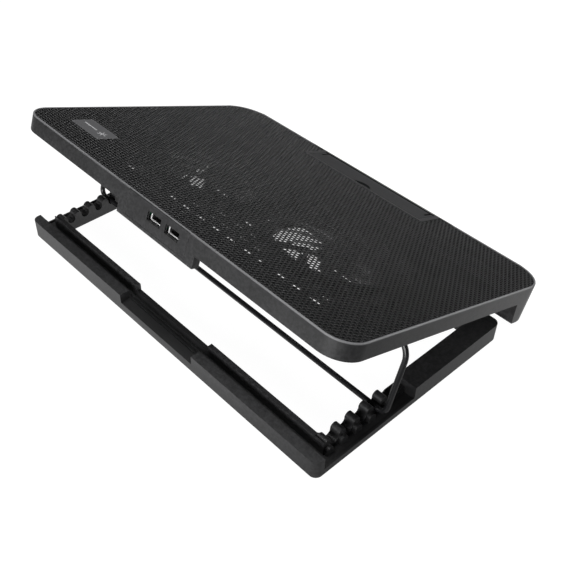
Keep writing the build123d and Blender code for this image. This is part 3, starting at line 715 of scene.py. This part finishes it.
def board_material():
    """Green solder mask over copper tracks: a brick pattern gives the tracks, darker between them."""
    material, tree, shader = new_material("green_board")
    place = add_node(tree, "ShaderNodeTexCoord").outputs["Object"]
    tracks = add_node(tree, "ShaderNodeTexBrick", {"Vector": place}, Scale=120.0, Mortar_Size=0.03)
    tracks.inputs["Color1"].default_value = (0.010, 0.085, 0.040, 1)
    tracks.inputs["Color2"].default_value = (0.014, 0.110, 0.050, 1)
    tracks.inputs["Mortar"].default_value = (0.004, 0.045, 0.022, 1)
    bump = add_node(tree, "ShaderNodeBump", {"Height": tracks.outputs["Fac"]}, Strength=0.3, Distance=0.00004)
    tree.links.new(tracks.outputs["Color"], shader.inputs["Base Color"])
    tree.links.new(bump.outputs["Normal"], shader.inputs["Normal"])
    shader.inputs["Roughness"].default_value = 0.3
    return material


softened("hub_board", board_material(), 0.0001, 1)


# ---------------------------------------------------------------------------------------------
# Bottom cover. A second black moulding, plainer and more matt, that closes the deck from below:
# a flange, a deep tub around the fans with rows of air slots, and a bay for the board.

cover_abs = moulded_plastic("cover_abs", (0.016, 0.016, 0.017), (0.07, 0.07, 0.075), gloss=0.42, grain=1800.0)
softened("bottom_cover", cover_abs, 0.0003, flatten=False)


# ---------------------------------------------------------------------------------------------
# Fans. Each is a bought part: a ring with four struts, a hub with eleven swept blades in smooth
# black plastic, and a small motor of a wound core inside a magnet ring on a bronze bearing.

FAN_V = 0.1296
FANS = {"left": -0.0687, "right": 0.0687}
BLADES = 11
HUB_R, BLADE_R = 0.0150, 0.0535
HUB_TOP, BLADE_TOP, BLADE_FOOT = 0.0130, 0.0136, 0.0197


SWEEP, SWEEP_POWER = radians(34.0), 1.4
SPAN, BLADE_HALF_T, CAMBER = radians(14.0), 0.00045, 0.0006


def blades(fan_x):
    """Eleven blades. Across a blade the angle runs over its span and the depth falls with it, less a parabola
    of camber. Along it the angle shifts by the sweep times a power of the way out, and the span narrows. Half
    the thickness is a parabola across that thins towards the tip."""
    along, across = 15, 9
    s = np.linspace(0, 1, along)[:, None]
    t = np.linspace(-1, 1, across)[None, :]
    radius = HUB_R - 0.0008 + s * (BLADE_R - HUB_R + 0.0008)
    span = SPAN * (1 - 0.15 * s)
    sweep = SWEEP * s ** SWEEP_POWER
    middle = (BLADE_TOP + BLADE_FOOT) / 2
    rise = (BLADE_FOOT - BLADE_TOP) / 2 - 0.0004
    thick = BLADE_HALF_T * (1 - 0.72 * t ** 2) * (1 - 0.35 * s)
    camber = CAMBER * (1 - t ** 2)
    angle = sweep - t * span / 2
    depth = middle + rise * t - camber
    top, low = (np.stack([radius * np.cos(angle), radius * np.sin(angle), depth + face * thick], -1)
                for face in (-1, 1))
    index = np.arange(along * across).reshape(along, across)
    sheet = grid_faces(along, across)
    rim = np.concatenate([index[0], index[1:, -1], index[-1, -2::-1], index[-2:0:-1, 0]])
    after = np.roll(rim, -1)
    count = along * across
    one = np.vstack([top.reshape(-1, 3), low.reshape(-1, 3)])
    edge = np.stack([rim, after, after + count, rim + count], 1)
    faces = np.vstack([sheet, sheet[:, ::-1] + count, edge])
    turn = np.arange(BLADES) * 2 * pi / BLADES
    x = one[None, :, 0] * np.cos(turn)[:, None] - one[None, :, 1] * np.sin(turn)[:, None]
    v = one[None, :, 0] * np.sin(turn)[:, None] + one[None, :, 1] * np.cos(turn)[:, None]
    n = np.broadcast_to(one[None, :, 2], x.shape)
    points = on_deck(np.stack([x + fan_x, v + FAN_V, n], -1)).reshape(-1, 3)
    faces = (faces[None] + np.arange(BLADES)[:, None, None] * 2 * count).reshape(-1, 4)
    return tidied(mesh_from("blades", points, faces))


def turned(name, profile, middle, around=64):
    """A closed piece turned about an upright axis through middle: each (radius, depth) of the profile makes a
    ring, and the profile's last ring joins its first."""
    r, n = np.array(profile + [profile[0]]).T
    a = np.linspace(0, 2 * pi, around, endpoint=False)
    x = middle[0] + r[:, None] * np.cos(a)
    v = middle[1] + r[:, None] * np.sin(a)
    points = on_deck(np.stack([x, v, np.broadcast_to(n[:, None], x.shape)], -1)).reshape(-1, 3)
    return tidied(mesh_from(name, points, grid_faces(len(r), around, wrap=True)), 2e-6)


def hub_cap(fan_x):
    """The cap over the motor: a dished top with a raised ring, a rounded shoulder and a thin skirt."""
    wall = 0.0016
    profile = [(POLE_R, HUB_TOP + 0.0005), (0.0022, HUB_TOP + 0.0005), (0.0068, HUB_TOP + 0.0005),
               (0.0072, HUB_TOP + 0.0001), (0.0078, HUB_TOP + 0.0001), (0.0082, HUB_TOP + 0.0005),
               (0.0126, HUB_TOP), (0.0140, HUB_TOP + 0.0001), (0.0147, HUB_TOP + 0.0006),
               (HUB_R, HUB_TOP + 0.0014), (HUB_R, 0.0200), (0.0148, 0.0202), (0.0136, 0.0202),
               (0.0134, 0.0200), (0.0134, HUB_TOP + wall), (POLE_R, HUB_TOP + wall)]
    return turned("hub_cap", profile, (fan_x, FAN_V))


def bladed_rotor(fan_x, side):
    """Hub and blades as one moulding."""
    return joined(f"fan_blades_{side}", [hub_cap(fan_x), blades(fan_x)])


blade_plastic = moulded_plastic("blade_plastic", (0.050, 0.050, 0.053), (0.12, 0.12, 0.125), gloss=0.22,
                                wear=0.2, depth=0.000008)
ring_plastic = moulded_plastic("fan_ring_plastic", (0.030, 0.030, 0.032), (0.09, 0.09, 0.09), gloss=0.34)
magnet_metal = brushed_metal("magnet_ferrite", (0.10, 0.10, 0.105), 0.5, metallic=0.4)
bronze = brushed_metal("sintered_bronze", (0.46, 0.30, 0.14), 0.45)


def winding_material():
    """Enamelled wire: fine bands across the core for the turns, in copper."""
    material, tree, shader = new_material("copper_winding")
    place = add_node(tree, "ShaderNodeTexCoord").outputs["Object"]
    turns = add_node(tree, "ShaderNodeTexWave", {"Vector": place}, Scale=1300.0, Distortion=1.5)
    tone = add_node(tree, "ShaderNodeMix", {"Factor": turns.outputs["Fac"]}, data_type="RGBA")
    tone.inputs["A"].default_value = (0.20, 0.06, 0.02, 1)
    tone.inputs["B"].default_value = (0.62, 0.25, 0.09, 1)
    bump = add_node(tree, "ShaderNodeBump", {"Height": turns.outputs["Fac"]}, Strength=0.7, Distance=0.00008)
    tree.links.new(tone.outputs["Result"], shader.inputs["Base Color"])
    tree.links.new(bump.outputs["Normal"], shader.inputs["Normal"])
    shader.inputs["Roughness"].default_value = 0.35
    shader.inputs["Metallic"].default_value = 0.8
    return material


winding = winding_material()
for side, fan_x in FANS.items():
    put(bladed_rotor(fan_x, side), f"fan_blades_{side}", blade_plastic, f"rotor_{side}",
        (f"fan_rotor_{side}",))
    softened(f"fan_frame_{side}", ring_plastic, 0.0003, flatten=False)
    softened(f"fan_magnet_{side}", magnet_metal, 0.0002)
    softened(f"fan_shaft_{side}", pin_steel, 0.0002)
    softened(f"fan_bearing_{side}", bronze, 0.0001)
    softened(f"fan_stator_{side}", winding, 0.0004)


def lead_material():
    """Thin insulated wire: soft black PVC with a faint cloudy tone."""
    material, tree, shader = new_material("lead_sleeve")
    place = add_node(tree, "ShaderNodeTexCoord").outputs["Object"]
    cloud = add_node(tree, "ShaderNodeTexNoise", {"Vector": place}, Scale=300.0, Detail=3.0)
    tone = add_node(tree, "ShaderNodeMix", {"Factor": cloud.outputs["Fac"]}, data_type="RGBA")
    tone.inputs["A"].default_value = (0.010, 0.010, 0.010, 1)
    tone.inputs["B"].default_value = (0.026, 0.026, 0.027, 1)
    tree.links.new(tone.outputs["Result"], shader.inputs["Base Color"])
    shader.inputs["Roughness"].default_value = 0.4
    return material


softened("fan_leads", lead_material(), 0.00015)


# ---------------------------------------------------------------------------------------------
# Clips and screws. Two black saddle clips hold the stand's legs under the deck, and cross-headed
# black zinc screws hold the clips, the cover and the fans from below.

clip_abs = moulded_plastic("clip_abs", (0.018, 0.018, 0.019), (0.08, 0.08, 0.085), gloss=0.38)
for side in FANS:
    softened(f"stand_clip_{side}", clip_abs, 0.0004)

black_zinc = brushed_metal("black_zinc", (0.07, 0.07, 0.075), 0.36, metallic=0.9)


SHANK_R, HEAD_R = 0.0012, 0.0026
AROUND_SCREW = 32


def cross_head_screw(x, v, seat, tip, head_t):
    """A pan-head screw seen from below: rings of points from the shank's tip over the head. The flat of the
    head drops by one depth wherever a point is inside a slot's width and reach, along either axis."""
    profile = [(POLE_R, tip), (SHANK_R * 0.5, tip), (SHANK_R, tip + 0.0008), (SHANK_R, seat),
               (HEAD_R * 0.96, seat), (HEAD_R, seat + head_t * 0.25), (HEAD_R * 0.97, seat + head_t * 0.55),
               (HEAD_R * 0.86, seat + head_t * 0.85)]
    flat_from = len(profile)
    profile += [(HEAD_R * part, seat + head_t) for part in (0.72, 0.60, 0.48, 0.36, 0.24, 0.12)]
    profile += [(POLE_R, seat + head_t)]
    r, n = np.array(profile).T
    a = np.linspace(0, 2 * pi, AROUND_SCREW, endpoint=False)
    px, pv = r[:, None] * np.cos(a), r[:, None] * np.sin(a)
    depth = np.broadcast_to(n[:, None], px.shape).copy()
    slot_half_w, reach = HEAD_R * 0.16, HEAD_R * 0.62
    in_slot = np.minimum(np.abs(px), np.abs(pv)) < slot_half_w
    in_reach = np.maximum(np.abs(px), np.abs(pv)) < reach
    cut = in_slot & in_reach & (np.arange(len(r)) >= flat_from)[:, None]
    depth -= np.where(cut, head_t * 0.55, 0.0)
    points = on_deck(np.stack([px + x, pv + v, depth], -1)).reshape(-1, 3)
    return tidied(mesh_from("screw", points, grid_faces(len(r), AROUND_SCREW, wrap=True)), 3e-6)


COVER_PLACES = [(sx * 0.1768, v) for sx in (-1, 1) for v in (0.075, 0.155, 0.232)]
COVER_PLACES += [(sx * 0.110, 0.2544) for sx in (-1, 1)]
CLIP_PLACES = [(sx * 0.145, 0.1725 + dv) for sx in (-1, 1) for dv in (-0.010, 0.010)]
TAB_REACH = 0.062 * cos(pi / 4)
FAN_PLACES = [(x + sx * TAB_REACH, FAN_V + sv * TAB_REACH)
              for x in FANS.values() for sx in (-1, 1) for sv in (-1, 1)]
# For each kind of screw: its places, the depths of its seat and its tip, and its head's thickness.
SCREW_KINDS = {
    "cover": (COVER_PLACES, 0.0130, 0.0060, 0.0010),
    "clip": (CLIP_PLACES, 0.0162, 0.0086, 0.0012),
    "fan": (FAN_PLACES, 0.0230, 0.0170, 0.0010),
}
for kind, (places, *sizes) in SCREW_KINDS.items():
    screws = joined(f"{kind}_screw_set", [cross_head_screw(x, v, *sizes) for x, v in places])
    put(screws, f"{kind}_screw_set", black_zinc, "deck", (f"{kind}_screws",))


# ---------------------------------------------------------------------------------------------
# Studio. A plain pale floor that glows, soft boxes behind, in front and overhead with a weak even
# fill, and the camera over the rear left corner.

FLOOR_GLOW, FLOOR_SEEN = 0.75, 0.98
DARK_CARD, CARD_GLOW, CARD_FADE = (-0.34, 0.14, 0.0), 0.04, (0.05, 0.38)
GLOW_FADE, FAR_GLOW = (0.30, 0.75), 0.08


def studio_floor():
    """One large pale sheet under the object. As a light it is brightest near the object, fades with distance
    and is nearly dark over a card to the rear left, which shapes the reflections; seen directly it is even
    white."""
    mesh = mesh_from("studio_floor", [(-6, -6, 0), (6, -6, 0), (6, 6, 0), (-6, 6, 0)], [(0, 1, 2, 3)])
    floor = bpy.data.objects.new("studio_floor", mesh)
    bpy.context.scene.collection.objects.link(floor)
    material, tree, shader = new_material("studio_paper")
    shader.inputs["Base Color"].default_value = (0.10, 0.10, 0.10, 1)
    shader.inputs["Roughness"].default_value = 0.9
    shader.inputs["Specular IOR Level"].default_value = 0.0
    shader.inputs["Emission Color"].default_value = (1, 1, 1, 1)
    place = add_node(tree, "ShaderNodeTexCoord").outputs["Object"]
    away = add_node(tree, "ShaderNodeVectorMath", {0: place}, operation="DISTANCE")
    away.inputs[1].default_value = DARK_CARD
    card = add_node(tree, "ShaderNodeMapRange", {"Value": away.outputs["Value"]},
                    interpolation_type="SMOOTHSTEP", From_Min=CARD_FADE[0], From_Max=CARD_FADE[1],
                    To_Min=CARD_GLOW, To_Max=FLOOR_GLOW)
    reach = add_node(tree, "ShaderNodeVectorMath", {0: place}, operation="LENGTH")
    fade = add_node(tree, "ShaderNodeMapRange", {"Value": reach.outputs["Value"]},
                    interpolation_type="SMOOTHSTEP", From_Min=GLOW_FADE[0], From_Max=GLOW_FADE[1], To_Min=1.0,
                    To_Max=FAR_GLOW)
    lit = add_node(tree, "ShaderNodeMath", {0: card.outputs["Result"], 1: fade.outputs["Result"]},
                   operation="MULTIPLY")
    seen = add_node(tree, "ShaderNodeLightPath").outputs["Is Camera Ray"]
    glow = add_node(tree, "ShaderNodeMix", {"Factor": seen, "A": lit.outputs[0]}, data_type="FLOAT")
    glow.inputs["B"].default_value = FLOOR_SEEN
    tree.links.new(glow.outputs["Result"], shader.inputs["Emission Strength"])
    mesh.materials.append(material)


def soft_box(name, place, aim, width, height, power):
    """A rectangular lamp at place that faces aim."""
    lamp = bpy.data.lights.new(name, "AREA")
    lamp.shape = "RECTANGLE"
    lamp.size, lamp.size_y = width, height
    lamp.energy = power
    holder = bpy.data.objects.new(name, lamp)
    holder.location = place
    holder.rotation_mode = "QUATERNION"
    holder.rotation_quaternion = (Vector(aim) - Vector(place)).to_track_quat("-Z", "Y")
    bpy.context.scene.collection.objects.link(holder)


HORIZON, ZENITH = 0.03, 0.03


def studio_fill():
    """White where the world is seen directly. As a light it is a weak dome that runs from the horizon's
    strength to the zenith's with the height of the direction; the two are set equal, for an even fill."""
    world = bpy.data.worlds.new("studio_fill")
    world.use_nodes = True
    tree = world.node_tree
    sky = tree.nodes["Background"]
    way = add_node(tree, "ShaderNodeTexCoord").outputs["Generated"]
    up = add_node(tree, "ShaderNodeSeparateXYZ", {"Vector": way}).outputs["Z"]
    dome = add_node(tree, "ShaderNodeMapRange", {"Value": up}, From_Min=0.0, From_Max=0.7, To_Min=HORIZON,
                    To_Max=ZENITH)
    seen = add_node(tree, "ShaderNodeLightPath").outputs["Is Camera Ray"]
    level = add_node(tree, "ShaderNodeMix", {"Factor": seen, "A": dome.outputs["Result"]}, data_type="FLOAT")
    level.inputs["B"].default_value = 1.0
    tree.links.new(level.outputs["Result"], sky.inputs["Strength"])
    sky.inputs["Color"].default_value = (1, 1, 1, 1)
    bpy.context.scene.world = world


studio_floor()
studio_fill()
soft_box("rear_box", (-0.5, 1.6, 0.55), (0, 0, 0.05), 1.6, 0.7, 28)
soft_box("left_box", (-0.75, -1.5, 0.45), (-0.1, -0.05, 0.05), 0.9, 0.5, 10)
soft_box("top_box", (0.20, 0.05, 1.5), (0, 0, 0.05), 1.1, 0.7, 22)
bpy.context.scene.view_settings.view_transform = "Standard"

CAMERA_PLACE = Vector((-0.40656, 0.38519, 0.48825))
CAMERA_TURN = (radians(47.8419), radians(-1.2366), radians(-133.1223))
eye = bpy.data.cameras.new("studio_camera")
eye.sensor_width = 36.0
eye.lens = 54.34
eye.clip_start, eye.clip_end = 0.01, 50.0
camera = bpy.data.objects.new("studio_camera", eye)
camera.location = CAMERA_PLACE
camera.rotation_euler = CAMERA_TURN
bpy.context.scene.collection.objects.link(camera)
bpy.context.scene.camera = camera
